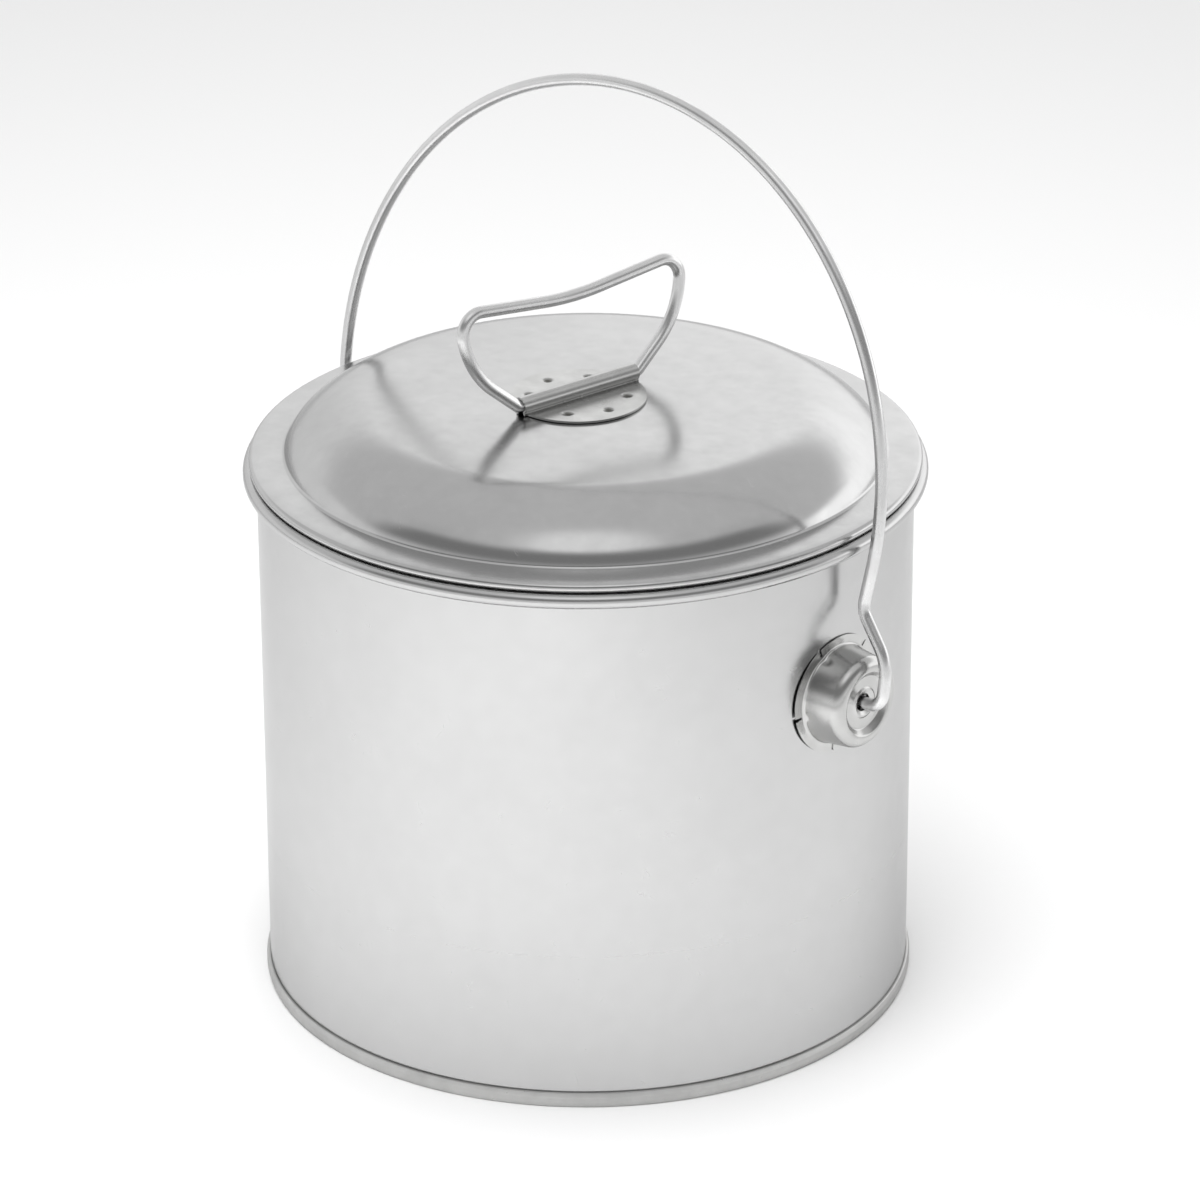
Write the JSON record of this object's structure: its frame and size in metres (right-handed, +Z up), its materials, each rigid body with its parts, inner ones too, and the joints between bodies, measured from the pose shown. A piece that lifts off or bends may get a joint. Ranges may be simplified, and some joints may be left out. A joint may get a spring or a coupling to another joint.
{
  "type": "milk can",
  "caption": "Straight-sided tinplate milk can with a swinging wire bail on pressed ears and a domed lift-off lid with a folding wire handle.",
  "frame": {"origin": "centre of the foot, on the surface the can stands on", "axes": "+Z up along the can's axis, X through the two bail ears, Y across them; at rest the bail leans a little towards +Y"},
  "size_m": [0.2554, 0.2238, 0.3044],
  "materials": {
    "tinplate": "bright rolled tinplate, semi-mirror with fine rolling grain",
    "tinplate_inside": "dull tinplate of the bottom and the lid skirt",
    "pressed_tin": "bright tinplate, drawn and pressed",
    "handle_wire": "tinned round steel wire, drawn",
    "rim_wire": "plain drawn steel wire, hidden inside the rolled rim"
  },
  "bodies": {
    "can": {"body_wall": "tinplate", "rim_wire": "rim_wire", "base_pan": "tinplate_inside", "ear_right": "pressed_tin", "ear_left": "pressed_tin"},
    "bail": {"bail": "handle_wire"},
    "lid": {"lid_cover": "tinplate", "lid_skirt": "tinplate_inside", "handle_bracket": "pressed_tin"},
    "lid_handle": {"lid_handle": "handle_wire"}
  },
  "joints": [
    {"name": "bail_swing", "type": "hinge", "parent": "can", "child": "bail", "pos_m": [0, 0, 0.1303], "axis": [1, 0, 0], "range_deg": [-126.4, 143.6]},
    {"name": "lid_lift", "type": "slide", "parent": "can", "child": "lid", "axis": [0, 0, 1], "range_m": [0, 0.03]},
    {"name": "lid_handle_swing", "type": "hinge", "parent": "lid", "child": "lid_handle", "pos_m": [-0.00052, -0.00295, 0.20683], "axis": [0.1736, 0.9848, 0], "range_deg": [-85.8, 96.2]}
  ]
}
